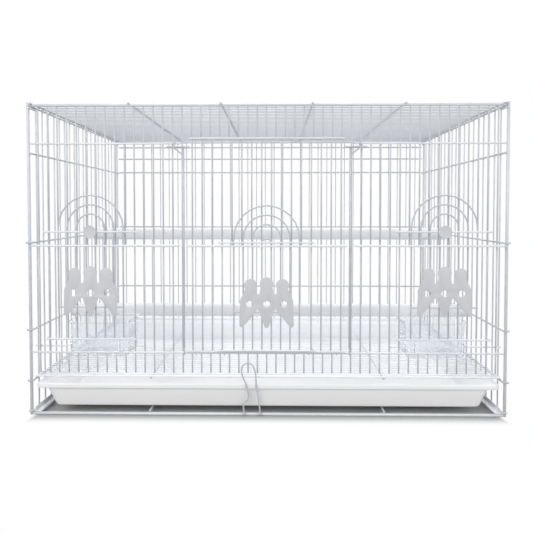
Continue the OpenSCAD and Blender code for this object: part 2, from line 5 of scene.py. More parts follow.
import bpy
from mathutils import Matrix, Vector


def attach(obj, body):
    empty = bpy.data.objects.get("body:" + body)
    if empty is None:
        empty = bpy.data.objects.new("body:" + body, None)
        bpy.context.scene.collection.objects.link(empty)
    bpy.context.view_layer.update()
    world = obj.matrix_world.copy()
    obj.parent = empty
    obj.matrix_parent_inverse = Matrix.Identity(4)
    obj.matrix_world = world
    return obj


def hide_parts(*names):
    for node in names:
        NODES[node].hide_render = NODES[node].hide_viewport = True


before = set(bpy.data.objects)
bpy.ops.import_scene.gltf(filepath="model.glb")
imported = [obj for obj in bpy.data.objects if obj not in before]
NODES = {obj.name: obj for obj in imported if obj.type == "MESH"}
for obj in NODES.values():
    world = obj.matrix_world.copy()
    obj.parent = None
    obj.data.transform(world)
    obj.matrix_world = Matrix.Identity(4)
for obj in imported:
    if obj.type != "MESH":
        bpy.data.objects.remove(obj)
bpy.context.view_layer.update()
bpy.ops.object.select_all(action="DESELECT")

MM = 0.001
X, Y, Z = (1, 0, 0), (0, 1, 0), (0, 0, 1)
LEFT, RIGHT = -1, 1

# Wire radii
RIM = 2.0       # posts and rims
WIRE = 1.0      # uprights, arches, cup rings, latch hooks and tray clip
FINE = 0.8      # back, top and floor wires, thin cross wires and sill eyes
RAIL = 1.1      # rails and crossbars of the front and its doors
SIDE = 1.25     # rails of the sides and back, cross wires of the top
ROD = 1.5       # latch rods, base wires, lengths and ends of the floor grille
KEEPER = 1.2    # bars that the small doors slide behind

# Planes of the front panel, from the mesh outwards
MESH_Y, RAIL_Y = -200, -201.9
LEG_Y, CROSS_Y, BAR_Y, KEEPER_Y = -204.3, -205.9, -206.1, -209.2
DOOR_Y, DOOR_RAIL_Y = -204.3, -206.2
SMALL_LEG_Y, SMALL_CROSS_Y, SMALL_BAR_Y, DOOR_KEEPER_Y = -208.6, -210.2, -210.4, -213.5
FRONT_WELD_Y, DOOR_WELD_Y = -200.9, -205.25

# Heights of the front panel
SILL_Z, MID_Z, UPPER_Z, HEADER_Z, WIRE_TOP = 81.5, 218.5, 347.5, 353.5, 393.9
LOW_END, SPLIT_LOW, SPLIT_MID = 55, 83.1, 217.0
LOOSE_LOW, LOOSE_TOP, BOTTOM_Z = 83.2, 216.9, 83.8

# Frame, and places across the front
POST_X, POST_Y, POST_TOP = 303, 200, 400.3
RIM_Z, RIM_END = 396, 300.9
JAMB_X, SIDE_PITCH, CENTRE_PITCH, DOOR_PITCH = 107, 12.25, 214 / 18, 12.5
DOORWAY = range(6, 14)
DOOR_X = 223.375
CUP_X = DOOR_X - 7
UPPER_START, UPPER_END = 110.5, 300
HEADER_HALF, DOOR_HEADER_HALF, DOOR_HALF = 98.5, 97.5, 99.5

# Small doors: half widths of the arches from the outside in, and the height between the crossbars
LEGS = (41.3, 29.5, 17.7, 5.9)
BAR_GAP = 136.5

# Sides and back
SIDE_WIRE_X, SIDE_RAIL_X = 301.8, 299.75
HOOKED_RAILS, PLAIN_RAIL = (45, 110.5, 222), 335.5
SIDE_TOP, SIDE_FOOT = 394.85, 2.1
SIDE_WIRES, SIDE_STEP = 19, 20
BACK_WIRES, BACK_RAIL_Y = 34, 198.15
BACK_RAILS = (45, 112, 229.5, 336.5, 363, 385.5)

# Top and floor grille
CROSS_X = (299.45, 175, 58)
TOP_WIRES, TOP_STEP, TOP_Z = 31, 12.5, 397.05
FLOOR_X, FLOOR_INNER_X = 297.9, 150
FLOOR_FRONT, FLOOR_BACK, FLOOR_WIRES = -196.5, 188, 37
FLOOR_ROD_Z, FLOOR_WIRE_Z = 47.33, 49.43


# ------------------------------------------------------------------ materials

def new_material(name, colour, roughness, metallic=0.0):
    """A node material with one Principled shader; its parts come back for the pattern nodes."""
    material = bpy.data.materials.new(name)
    material.use_nodes = True
    tree = material.node_tree
    shader = tree.nodes["Principled BSDF"]
    shader.inputs["Base Color"].default_value = (*colour, 1)
    shader.inputs["Roughness"].default_value = roughness
    shader.inputs["Metallic"].default_value = metallic
    where = tree.nodes.new("ShaderNodeTexCoord")
    return material, tree, shader, where.outputs["Object"]


def noise(tree, where, scale, detail=3.0, roughness=0.55):
    node = tree.nodes.new("ShaderNodeTexNoise")
    node.inputs["Scale"].default_value = scale
    node.inputs["Detail"].default_value = detail
    node.inputs["Roughness"].default_value = roughness
    tree.links.new(where, node.inputs["Vector"])
    return node.outputs["Fac"]


def ramp(tree, value, stops):
    node = tree.nodes.new("ShaderNodeValToRGB")
    elements = node.color_ramp.elements
    while len(elements) < len(stops):
        elements.new(0.5)
    for element, (place, colour) in zip(elements, stops):
        element.position = place
        element.color = (*colour, 1)
    tree.links.new(value, node.inputs["Fac"])
    return node.outputs["Color"]


def spread(tree, value, low, high):
    node = tree.nodes.new("ShaderNodeMapRange")
    node.inputs["To Min"].default_value = low
    node.inputs["To Max"].default_value = high
    tree.links.new(value, node.inputs["Value"])
    return node.outputs["Result"]


def bump(tree, shader, height, distance, strength=1.0):
    node = tree.nodes.new("ShaderNodeBump")
    node.inputs["Distance"].default_value = distance
    node.inputs["Strength"].default_value = strength
    tree.links.new(height, node.inputs["Height"])
    tree.links.new(node.outputs["Normal"], shader.inputs["Normal"])


def coated_wire(name="coated_wire", tone=0.57):
    """White coating on steel wire: faint patches, a fine grain and a satin gloss."""
    material, tree, shader, where = new_material(name, (tone, tone + 0.02, tone + 0.06), 0.34, 0.05)
    low, high = tone - 0.03, tone + 0.03
    patches = ramp(tree, noise(tree, where, 90, 4), [(0.3, (low, low + 0.02, low + 0.065)),
                                                     (0.7, (high, high + 0.02, high + 0.055))])
    tree.links.new(patches, shader.inputs["Base Color"])
    tree.links.new(spread(tree, noise(tree, where, 260, 2), 0.26, 0.42), shader.inputs["Roughness"])
    bump(tree, shader, noise(tree, where, 900, 2), 0.00008, 0.5)
    return material


def stamped_plate():
    """Painted sheet steel, a little rough like an orange peel."""
    material, tree, shader, where = new_material("stamped_plate", (0.63, 0.64, 0.665), 0.5)
    patches = noise(tree, where, 55, 4)
    tree.links.new(ramp(tree, patches, [(0.3, (0.62, 0.63, 0.655)), (0.7, (0.64, 0.65, 0.675))]),
                   shader.inputs["Base Color"])
    tree.links.new(spread(tree, noise(tree, where, 400, 2), 0.42, 0.6), shader.inputs["Roughness"])
    bump(tree, shader, noise(tree, where, 1500, 2), 0.00005, 0.4)
    return material


def white_plastic():
    """Moulded white plastic with a faint grain and slightly uneven gloss."""
    material, tree, shader, where = new_material("white_plastic", (0.91, 0.91, 0.915), 0.36)
    tone = noise(tree, where, 9, 3)
    tree.links.new(ramp(tree, tone, [(0.3, (0.9, 0.9, 0.905)), (0.7, (0.92, 0.92, 0.925))]),
                   shader.inputs["Base Color"])
    tree.links.new(spread(tree, noise(tree, where, 140, 3), 0.32, 0.46), shader.inputs["Roughness"])
    bump(tree, shader, noise(tree, where, 1400, 2), 0.00006, 0.35)
    return material


def perch_plastic():
    """Matt plastic of the perches, with a fine grain."""
    material, tree, shader, where = new_material("perch_plastic", (0.82, 0.83, 0.85), 0.5)
    tone = noise(tree, where, 30, 3)
    tree.links.new(ramp(tree, tone, [(0.3, (0.81, 0.82, 0.84)), (0.7, (0.83, 0.84, 0.86))]),
                   shader.inputs["Base Color"])
    bump(tree, shader, noise(tree, where, 700, 3), 0.00012, 0.6)
    return material


def clear_plastic():
    """Thin clear plastic, hardly tinted."""
    material, tree, shader, where = new_material("clear_plastic", (0.93, 0.95, 0.975), 0.04)
    shader.inputs["Transmission Weight"].default_value = 1.0
    shader.inputs["IOR"].default_value = 1.06
    shader.inputs["Alpha"].default_value = 0.5
    tree.links.new(spread(tree, noise(tree, where, 60, 3), 0.02, 0.06), shader.inputs["Roughness"])
    return material


MATERIALS = {
    "coated_wire": coated_wire(),
    # The three lighter copies below are the same white coating with painted light: rails, rims, posts, side
    # uprights, floor wires and base strips are made brighter for how light falls on them, not for a different
    # coating.
    "painted_light_frame_wire": coated_wire("painted_light_frame_wire", 0.67),
    "painted_light_rail_wire": coated_wire("painted_light_rail_wire", 0.79),
    "painted_light_floor_wire": coated_wire("painted_light_floor_wire", 0.9),
    "stamped_plate": stamped_plate(),
    "white_plastic": white_plastic(),
    "perch_plastic": perch_plastic(),
    "clear_plastic": clear_plastic(),
}


def slot_of(node):
    if "plate" in node:
        return "stamped_plate"
    if "cup" in node and "holder" not in node:
        return "clear_plastic"
    if "perch" in node:
        return "perch_plastic"
    return "white_plastic" if node == "tray" else "coated_wire"


for node_name, node_object in NODES.items():
    node_object.data.materials.clear()
    node_object.data.materials.append(MATERIALS[slot_of(node_name)])


# ------------------------------------------------------------------ bench tools

def make_active(obj):
    bpy.ops.object.select_all(action="DESELECT")
    obj.select_set(True)
    bpy.context.view_layer.objects.active = obj


def pick_faces(obj, wanted):
    """Leaves the piece in edit mode with just the wanted faces selected."""
    make_active(obj)
    bpy.ops.object.mode_set(mode="EDIT")
    bpy.ops.mesh.select_mode(type="FACE")
    bpy.ops.mesh.select_all(action="DESELECT")
    bpy.ops.object.mode_set(mode="OBJECT")
    for face in obj.data.polygons:
        face.select = wanted(face)
    bpy.ops.object.mode_set(mode="EDIT")


def pick_edges(obj, wanted):
    """Leaves the piece in edit mode with just the wanted edges selected, told by their two ends."""
    make_active(obj)
    bpy.ops.object.mode_set(mode="EDIT")
    bpy.ops.mesh.select_mode(type="EDGE")
    bpy.ops.mesh.select_all(action="DESELECT")
    bpy.ops.object.mode_set(mode="OBJECT")
    points = obj.data.vertices
    for edge in obj.data.edges:
        edge.select = wanted(points[edge.vertices[0]].co / MM, points[edge.vertices[1]].co / MM)
    bpy.ops.object.mode_set(mode="EDIT")


def done_editing():
    bpy.ops.object.mode_set(mode="OBJECT")
    return bpy.context.object


def apply_modifier(obj, kind, **settings):
    modifier = obj.modifiers.new(kind.lower(), kind)
    for setting, value in settings.items():
        setattr(modifier, setting, value)
    make_active(obj)
    bpy.ops.object.modifier_apply(modifier=modifier.name)
    return obj


def bevelled(obj, width, segments=2, angle=50):
    """Rounds the edges that are sharper than the angle."""
    return apply_modifier(obj, "BEVEL", width=width * MM, segments=segments, limit_method="ANGLE",
                          angle_limit=math.radians(angle))


def placed(obj):
    make_active(obj)
    bpy.ops.object.transform_apply(location=True, rotation=True, scale=True)
    return obj


def row(obj, count, step):
    """Repeats a piece in a straight row, step millimetres apart."""
    return apply_modifier(obj, "ARRAY", count=count, use_relative_offset=False, use_constant_offset=True,
                          constant_offset_displace=Vector(step) * MM)


def copy_of(obj, move=(0, 0, 0)):
    twin = obj.copy()
    twin.data = obj.data.copy()
    bpy.context.collection.objects.link(twin)
    twin.data.transform(Matrix.Translation(Vector(move) * MM))
    return twin


def at_each(obj, moves):
    """The piece, and a copy of it at each of the moves."""
    return [obj] + [copy_of(obj, move) for move in moves]


def other_side(obj):
    """A left-hand copy of a right-hand piece."""
    twin = copy_of(obj)
    twin.data.transform(Matrix.Scale(-1, 4, X))
    twin.data.flip_normals()
    return twin


def joined(parts):
    bpy.ops.object.select_all(action="DESELECT")
    for part in parts:
        part.select_set(True)
    bpy.context.view_layer.objects.active = parts[0]
    if len(parts) > 1:
        bpy.ops.object.join()
    return bpy.context.object


def panel(usual_parts, lighter_parts, painted_light_copy="painted_light_rail_wire"):
    """A welded panel in two tones of one coating: the usual one, and a lighter copy that paints light on the
    lighter parts.
    """
    usual, lighter = joined(usual_parts), joined(lighter_parts)
    usual.data.materials.append(MATERIALS["coated_wire"])
    lighter.data.materials.append(MATERIALS[painted_light_copy])
    return joined([usual, lighter])


def hand_over(obj, name, body, slot, *nodes, smooth=50, painted_light_copy=None):
    """Names a completed piece, gives it its material and body, and puts it in the place of its nodes; a
    lighter copy of the coating, when given, paints light on it.
    """
    make_active(obj)
    bpy.ops.object.shade_smooth_by_angle(angle=math.radians(smooth))
    obj.name = name
    obj.data.name = name
    if not obj.data.materials:
        obj.data.materials.append(MATERIALS[painted_light_copy or slot])
    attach(obj, body)
    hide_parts(*nodes)


# ------------------------------------------------------------------ wires

def round_ends(wire, radius):
    """The coating rounds the cut ends of a wire, which are its only many-sided faces."""
    pick_faces(wire, lambda face: len(face.vertices) > 4)
    bpy.ops.mesh.bevel(offset=0.4 * radius * MM, segments=1, affect="EDGES")
    return done_editing()


def rod(start, end, radius, sides=10):
    """A straight wire between two points."""
    start, end = Vector(start) * MM, Vector(end) * MM
    way = end - start
    bpy.ops.mesh.primitive_cylinder_add(vertices=sides, radius=radius * MM, depth=way.length,
                                        end_fill_type="NGON", location=(start + end) / 2,
                                        rotation=way.to_track_quat("Z", "Y").to_euler())
    return round_ends(placed(bpy.context.object), radius)


def bent(start, heading, steps, radius, sides=10):
    """A wire bent like on a bench: a number is a straight length, (bend, degrees, axis) a turn."""
    place, heading = Vector(start), Vector(heading).normalized()
    bpy.ops.mesh.primitive_circle_add(vertices=sides, radius=radius * MM, fill_type="NGON",
                                      location=place * MM,
                                      rotation=heading.to_track_quat("Z", "Y").to_euler())
    wire = placed(bpy.context.object)
    bpy.ops.object.mode_set(mode="EDIT")
    bpy.ops.mesh.select_all(action="SELECT")
    for step in steps:
        if isinstance(step, (int, float)):
            bpy.ops.mesh.extrude_region_move(TRANSFORM_OT_translate={"value": heading * step * MM})
            place = place + heading * step
            continue
        bend, degrees, axis = step
        axis = Vector(axis)
        centre = place + axis.cross(heading) * bend
        bpy.ops.mesh.spin(steps=max(2, round(degrees / 15)), angle=-math.radians(degrees),
                          center=centre * MM, axis=axis)
        turn = Matrix.Rotation(math.radians(degrees), 3, axis)
        place, heading = centre + turn @ (place - centre), turn @ heading
    done_editing()
    return round_ends(wire, radius)


def drop(place, size):
    """The drop of metal and coating in the corner of two welded wires."""
    bpy.ops.mesh.primitive_uv_sphere_add(segments=8, ring_count=5, radius=MM, location=Vector(place) * MM,
                                         scale=size)
    return placed(bpy.context.object)


def ladder(places, rails, y, size):
    """Weld drops where upright wires at the x places cross level rails."""
    first = drop((places[0], y, rails[0]), size)
    line = joined(at_each(first, [(x - places[0], 0, 0) for x in places[1:]]))
    return at_each(line, [(0, 0, z - rails[0]) for z in rails[1:]])


WELD = (1.45, 0.75, 1.5)


def build_frame():
    for side_y, face in ((-POST_Y, "front"), (POST_Y, "back")):
        for z, level in ((RIM_Z, "top"), (RIM, "bottom")):
            rim = rod((-RIM_END, side_y, z), (RIM_END, side_y, z), RIM, 20)
            welds = [drop((s * (RIM_END - 0.3), side_y, z), (1.2, 2.25, 1.95)) for s in (LEFT, RIGHT)]
            # The bottom rims take the lighter rail copy of the coating, the top rims and the posts the frame
            # copy: painted light.
            hand_over(joined([rim] + welds), f"{face}_{level}_rim_wire", "cage", "coated_wire",
                      f"{face}_{level}_rim", painted_light_copy="painted_light_rail_wire" if level == "bottom" else "painted_light_frame_wire")
        for side, hand in ((LEFT, "left"), (RIGHT, "right")):
            post = rod((side * POST_X, side_y, 0), (side * POST_X, side_y, POST_TOP), RIM, 20)
            hand_over(post, f"{face}_{hand}_post_wire", "cage", "coated_wire", f"{face}_{hand}_post",
                      painted_light_copy="painted_light_frame_wire")


def side_x(i):
    return JAMB_X + i * SIDE_PITCH


def uprights(places, low, high, y, radius=WIRE):
    """Upright wires at the given x places, modelled once."""
    first = rod((places[0], y, low), (places[0], y, high), radius)
    return joined(at_each(first, [(x - places[0], 0, 0) for x in places[1:]]))


def build_lower_grille():
    door_places = [s * side_x(i) for s in (LEFT, RIGHT) for i in DOORWAY]
    centre_places = [-JAMB_X + i * CENTRE_PITCH for i in range(1, 18)]
    side_places = [s * side_x(i) for s in (LEFT, RIGHT) for i in range(16) if i not in DOORWAY]
    wires = [uprights(door_places + centre_places, LOW_END, SILL_Z + 0.4, MESH_Y),
             uprights(side_places, LOW_END, SPLIT_LOW, MESH_Y)]
    rails = [rod((-RIM_END, RAIL_Y, SILL_Z), (RIM_END, RAIL_Y, SILL_Z), RAIL, 14)]
    rails += ladder(door_places + centre_places + side_places, [SILL_Z], FRONT_WELD_Y, WELD)
    hand_over(panel(wires, rails), "front_lower_wires", "cage", "coated_wire", "front_lower_grille")


def keeper_bar(x0, x1, y_front, y_back, z):
    """A bar that stands off in front of a rail, with both ends bent back to it."""
    bend = 2.5
    reach = y_back - y_front - bend
    return bent((x0, y_back, z), (0, -1, 0),
                [reach, (bend, 90, Z), x1 - x0 - 2 * bend, (bend, 90, Z), reach], KEEPER)


def build_upper_grilles():
    door_places = [side_x(i) for i in DOORWAY]
    other_places = [side_x(i) for i in range(1, 16) if i not in DOORWAY]
    wires = [uprights(door_places, MID_Z - 0.4, WIRE_TOP, MESH_Y),
             uprights(other_places, SPLIT_MID, WIRE_TOP, MESH_Y)]
    bend = 2.2
    rails = [bent((UPPER_START, RAIL_Y + bend, UPPER_Z), (0, -1, 0),
                  [(bend, 90, Z), UPPER_END - UPPER_START - bend], RAIL),
             rod((UPPER_START, RAIL_Y, MID_Z), (UPPER_END, RAIL_Y, MID_Z), RAIL),
             keeper_bar(UPPER_START + 2, UPPER_END - 2, KEEPER_Y, RAIL_Y, MID_Z)]
    rails += ladder(door_places + other_places, [UPPER_Z, MID_Z], FRONT_WELD_Y, WELD)
    right = panel(wires, rails)
    hand_over(other_side(right), "front_left_upper_wires", "cage", "coated_wire", "front_left_upper_grille")
    hand_over(right, "front_right_upper_wires", "cage", "coated_wire", "front_right_upper_grille")


def build_front_wires():
    for first, last, place in ((14, 15, "outer"), (1, 5, "inner")):
        right = uprights([side_x(i) for i in range(first, last + 1)], LOOSE_LOW, LOOSE_TOP, MESH_Y)
        for obj, hand in ((other_side(right), "left"), (right, "right")):
            hand_over(obj, f"front_{hand}_{place}_uprights", "cage", "coated_wire",
                      f"front_{hand}_{place}_wires")
    jamb = rod((JAMB_X, MESH_Y, LOOSE_LOW), (JAMB_X, MESH_Y, WIRE_TOP), WIRE)
    for obj, hand in ((other_side(jamb), "left"), (jamb, "right")):
        hand_over(obj, f"front_{hand}_jamb", "cage", "coated_wire", f"front_{hand}_jamb_wire")
    places = [-JAMB_X + i * CENTRE_PITCH for i in range(1, 18)]
    rails = [rod((-HEADER_HALF, RAIL_Y, HEADER_Z), (HEADER_HALF, RAIL_Y, HEADER_Z), RAIL)]
    rails += ladder(places, [HEADER_Z], FRONT_WELD_Y, WELD)
    wires = uprights(places, HEADER_Z - 0.4, WIRE_TOP, MESH_Y)
    hand_over(panel([wires], rails), "front_header_wires", "cage", "coated_wire", "front_centre_header")


def build_sides():
    first_y = -SIDE_STEP * (SIDE_WIRES - 1) / 2
    low = HOOKED_RAILS[0]
    upright = rod((SIDE_WIRE_X, first_y, RIM), (SIDE_WIRE_X, first_y, SIDE_TOP), WIRE)
    bend, hook = 2.5, 4.25
    turn = (bend, 90, (0, 0, -1))
    rail = bent((SIDE_RAIL_X + bend + hook, -POST_Y - 1 - bend, low), (-1, 0, 0),
                [hook, turn, 2 * POST_Y + 2, turn, hook], SIDE)
    rails = at_each(rail, [(0, 0, z - low) for z in HOOKED_RAILS[1:]])
    inside, past = POST_Y - 2.1, POST_Y + 2
    edges = [rod((SIDE_RAIL_X, -reach, z), (SIDE_RAIL_X, reach, z), SIDE)
             for z, reach in ((SIDE_TOP, inside), (SIDE_FOOT, inside), (PLAIN_RAIL, past))]
    weld = row(drop((SIDE_WIRE_X - 0.95, first_y, low), (0.75, 1.45, 1.6)), SIDE_WIRES, (0, SIDE_STEP, 0))
    welds = at_each(weld, [(0, 0, z - low) for z in (*HOOKED_RAILS[1:], PLAIN_RAIL, SIDE_TOP)])
    curls = [bent((SIDE_RAIL_X, end * (POST_Y - 12), z), (0, end, 0),
                  [12, (POST_X - SIDE_RAIL_X, degrees, (0, 0, -end))], SIDE)
             for z, degrees in ((5.9, 130), (392.2, 75)) for end in (-1, 1)]
    # The uprights and corner curls take a lighter copy of the coating, while the rails, edges and welds keep
    # the usual darker tone: painted light and shade, not two coatings.
    right = panel(rails + edges + welds, [row(upright, SIDE_WIRES, (0, SIDE_STEP, 0))] + curls,
                  "painted_light_frame_wire")
    for obj, hand in ((other_side(right), "left"), (right, "right")):
        hand_over(obj, f"{hand}_side_wires", "cage", "coated_wire", f"{hand}_side_grille")


def build_back():
    pitch = 2 * POST_X / (BACK_WIRES + 1)
    start, end, low = -POST_X + pitch, 298.2, BACK_RAILS[0]
    moves = [(0, 0, z - low) for z in BACK_RAILS[1:]]
    wires = row(rod((start, POST_Y, 4.1), (start, POST_Y, WIRE_TOP), FINE), BACK_WIRES, (pitch, 0, 0))
    rails = at_each(rod((-end, BACK_RAIL_Y, low), (end, BACK_RAIL_Y, low), SIDE), moves)
    weld = row(drop((start, POST_Y - 0.7, low), (1.2, 0.7, 1.6)), BACK_WIRES, (pitch, 0, 0))
    welds = at_each(weld, moves)
    hand_over(joined([wires] + rails + welds), "back_wires", "cage", "coated_wire", "back_grille")


def build_top():
    cross_places = [s * x for x in CROSS_X for s in (LEFT, RIGHT)]
    end, front = POST_X - 1, -TOP_STEP * (TOP_WIRES - 1) / 2
    wires = row(rod((-end, front, TOP_Z), (end, front, TOP_Z), FINE), TOP_WIRES, (0, TOP_STEP, 0))
    turn = (2.5, 90, (-1, 0, 0))
    cross = bent((cross_places[0], -POST_Y - 3.55, RIM_Z + 0.4), Z, [turn, 2 * POST_Y + 2.1, turn], SIDE)
    weld = row(drop((cross_places[0], front, TOP_Z + 0.7), (1.6, 1.2, 0.7)), TOP_WIRES, (0, TOP_STEP, 0))
    moves = [(x - cross_places[0], 0, 0) for x in cross_places[1:]]
    hand_over(joined([wires] + at_each(cross, moves) + at_each(weld, moves)), "top_wires", "cage",
              "coated_wire", "top_grille")


def build_floor_grille():
    step = (FLOOR_BACK - FLOOR_FRONT) / (FLOOR_WIRES + 1)
    first_y, rod_z, wire_z = FLOOR_FRONT + step, FLOOR_ROD_Z, FLOOR_WIRE_Z
    moves = [(x + FLOOR_X, 0, 0) for x in (-FLOOR_INNER_X, FLOOR_INNER_X, FLOOR_X)]
    length = rod((-FLOOR_X, FLOOR_FRONT - 0.5, rod_z), (-FLOOR_X, FLOOR_BACK + 0.5, rod_z), ROD)
    lengths = at_each(length, moves)
    wire = rod((-FLOOR_X, first_y, wire_z), (FLOOR_X, first_y, wire_z), FINE)
    wires = row(wire, FLOOR_WIRES, (0, step, 0))
    ends = [rod((-FLOOR_X, y, wire_z), (FLOOR_X, y, wire_z), ROD) for y in (FLOOR_FRONT, FLOOR_BACK)]
    weld = row(drop((-FLOOR_X, first_y, 48.7), (1.7, 1.2, 0.7)), FLOOR_WIRES, (0, step, 0))
    # The cross wires, end rods and welds take the brightest copy of the coating: painted light, as if lit
    # from above.
    hand_over(panel(lengths, [wires] + ends + at_each(weld, moves), "painted_light_floor_wire"), "floor_wires", "cage",
              "coated_wire", "floor_grille")


def build_base():
    place, reach, z = 150, POST_Y + 1, 5.6
    bar = rod((-place, -reach, z), (-place, reach, z), ROD, 14)
    bars = joined(at_each(bar, [(2 * place, 0, 0)]))
    hand_over(bars, "base_wires", "cage", "coated_wire", "base_cross_wires")


def build_runners():
    """A sheet strip folded along one edge."""
    width, length, height, sheet = 7.5, 404, 5.5, 0.96
    middle_x, low = 293.95, 4.8
    fold_x = middle_x + width / 2
    bpy.ops.mesh.primitive_plane_add(size=1, location=(0, 0, 0))
    strip = bpy.context.object
    strip.scale = (width * MM, length * MM, 1)
    strip.location = (middle_x * MM, 0, low * MM)
    placed(strip)
    pick_edges(strip, lambda a, b: min(a.x, b.x) > fold_x - 0.1)
    bpy.ops.mesh.extrude_region_move(TRANSFORM_OT_translate={"value": (0, 0, height * MM)})
    done_editing()
    pick_edges(strip, lambda a, b: min(a.x, b.x) > fold_x - 0.1 and max(a.z, b.z) < low + 0.1)
    bpy.ops.mesh.bevel(offset=0.8 * MM, segments=3, affect="EDGES")
    done_editing()
    apply_modifier(strip, "SOLIDIFY", thickness=sheet * MM, offset=0)
    bevelled(strip, 0.2)
    for obj, hand in ((other_side(strip), "left"), (strip, "right")):
        # The strips take the brightest copy of the coating: painted light that lifts their shade.
        hand_over(obj, f"{hand}_base_strip", "cage", "coated_wire", f"{hand}_runner", smooth=35,
                  painted_light_copy="painted_light_floor_wire")


def build_holders():
    """A wire that goes round a cup, with its two ends along the inside of the front wires."""
    width, bend, end, last_x, front, back = 78.8, 6, 14, 298, -197.9, -139
    start_x = CUP_X - width / 2 - bend - end
    arm = back - front - 2 * bend
    left_turn, right_turn = (bend, 90, Z), (bend, 90, (0, 0, -1))
    steps = [end, left_turn, arm, right_turn, width - 2 * bend, right_turn, arm, left_turn,
             last_x - CUP_X - width / 2 - bend]
    right = bent((start_x, front, 89), X, steps, WIRE)
    # The rings take the lighter rail copy of the coating: painted light.
    hand_over(other_side(right), "left_cup_ring", "cage", "coated_wire", "left_cup_holder",
              painted_light_copy="painted_light_rail_wire")
    hand_over(right, "right_cup_ring", "cage", "coated_wire", "right_cup_holder", painted_light_copy="painted_light_rail_wire")


# ------------------------------------------------------------------ doors

def crossbar(middle, guide, y, z, wires_y):
    """A bar with both ends hooked back round the guide wires of the doorway."""
    bend, end = 2.2, 2.4
    back, half = wires_y + 2.5, guide + 1.9
    hook = [(bend, 90, Z), back - y - 2 * bend, (bend, 90, Z)]
    steps = [end] + hook + [2 * half] + hook + [end]
    return bent((middle - half + end, back, z), (-1, 0, 0), steps, RAIL)


def small_door(middle, guide, leg_y, bar_y, cross_y, guide_y, low, cross_up):
    """Four nested arches on two hooked crossbars, with a thin cross wire between them."""
    high, cross_z, cross_half = low + BAR_GAP, low + cross_up, LEGS[0] + 1
    arches = []
    for half, top in zip(LEGS, (high + 5, high + 5, high + 5, high - 1.4)):
        arches.append(bent((middle - half, leg_y, low), Z, [top - low, (half, 180, Y), top - low], WIRE))
    bars = [crossbar(middle, guide, bar_y, z, guide_y) for z in (low, high)]
    arches.append(rod((middle - cross_half, cross_y, cross_z), (middle + cross_half, cross_y, cross_z), FINE))
    legs = [middle + s * half for half in LEGS for s in (LEFT, RIGHT)]
    bars += ladder(legs, [low, high], leg_y - 0.95, (1.4, 0.6, 1.5))
    arches += ladder(legs, [cross_z], leg_y - 0.9, (1.3, 0.6, 1.2))
    return panel(arches, bars)


def build_small_doors():
    right = small_door(DOOR_X, 4.5 * SIDE_PITCH, LEG_Y, BAR_Y, CROSS_Y, MESH_Y, low=99.5, cross_up=41)
    hand_over(other_side(right), "left_door_frame", "left_feeder_door", "coated_wire", "left_door_wires")
    hand_over(right, "right_door_frame", "right_feeder_door", "coated_wire", "right_door_wires")
    small = small_door(0, 4.5 * DOOR_PITCH, SMALL_LEG_Y, SMALL_BAR_Y, SMALL_CROSS_Y, DOOR_Y, low=86.3,
                       cross_up=48.5)
    hand_over(small, "small_door_frame", "small_door", "coated_wire", "small_door_wires")


def build_bird_plates():
    """The stamped plates keep the outline of the solids and get rounded edges."""
    bodies = {"left_door": "left_feeder_door", "right_door": "right_feeder_door", "small_door": "small_door"}
    for door, body in bodies.items():
        node = door + "_bird_plate"
        plate = copy_of(NODES[node])
        make_active(plate)
        bpy.ops.object.mode_set(mode="EDIT")
        bpy.ops.mesh.select_all(action="SELECT")
        bpy.ops.mesh.remove_doubles(threshold=0.01 * MM)
        bpy.ops.mesh.dissolve_limited(angle_limit=math.radians(2))
        done_editing()
        bevelled(plate, 0.18, angle=60)
        hand_over(plate, node + "_stamping", body, "stamped_plate", node, smooth=35)


def build_finger_plates():
    """A round dished plate with a rolled edge."""
    radius, sheet, middle = 8.25, 1.0, Vector((DOOR_X, -207.8, 236))
    bpy.ops.mesh.primitive_cylinder_add(vertices=40, radius=radius * MM, depth=sheet * MM,
                                        end_fill_type="NGON", location=middle * MM,
                                        rotation=(math.radians(90), 0, 0))
    plate = placed(bpy.context.object)
    pick_faces(plate, lambda face: face.normal.y < -0.9)
    bpy.ops.mesh.inset(thickness=1.1 * MM)
    bpy.ops.mesh.inset(thickness=0.9 * MM, depth=-0.35 * MM)
    bpy.ops.mesh.inset(thickness=3.2 * MM, depth=-0.12 * MM)
    done_editing()
    bevelled(plate, 0.3, segments=3)
    hand_over(other_side(plate), "left_door_finger_disc", "left_feeder_door", "stamped_plate",
              "left_door_finger_plate", smooth=30)
    hand_over(plate, "right_door_finger_disc", "right_feeder_door", "stamped_plate",
              "right_door_finger_plate", smooth=30)


def eye(x, stem_y, stem_z):
    """A wire that comes down a stem and closes round the sill rail."""
    stem = Vector((stem_y - RAIL_Y, stem_z - SILL_Z))
    bend = RAIL + 0.3 + FINE
    reach = math.sqrt(stem.length_squared - bend * bend)
    lean = math.asin(bend / stem.length)
    towards = -stem.normalized()
    heading = Matrix.Rotation(-lean, 2) @ towards
    return bent((x, stem_y, stem_z), (0, heading.x, heading.y), [reach, (bend, 320, X)], FINE)


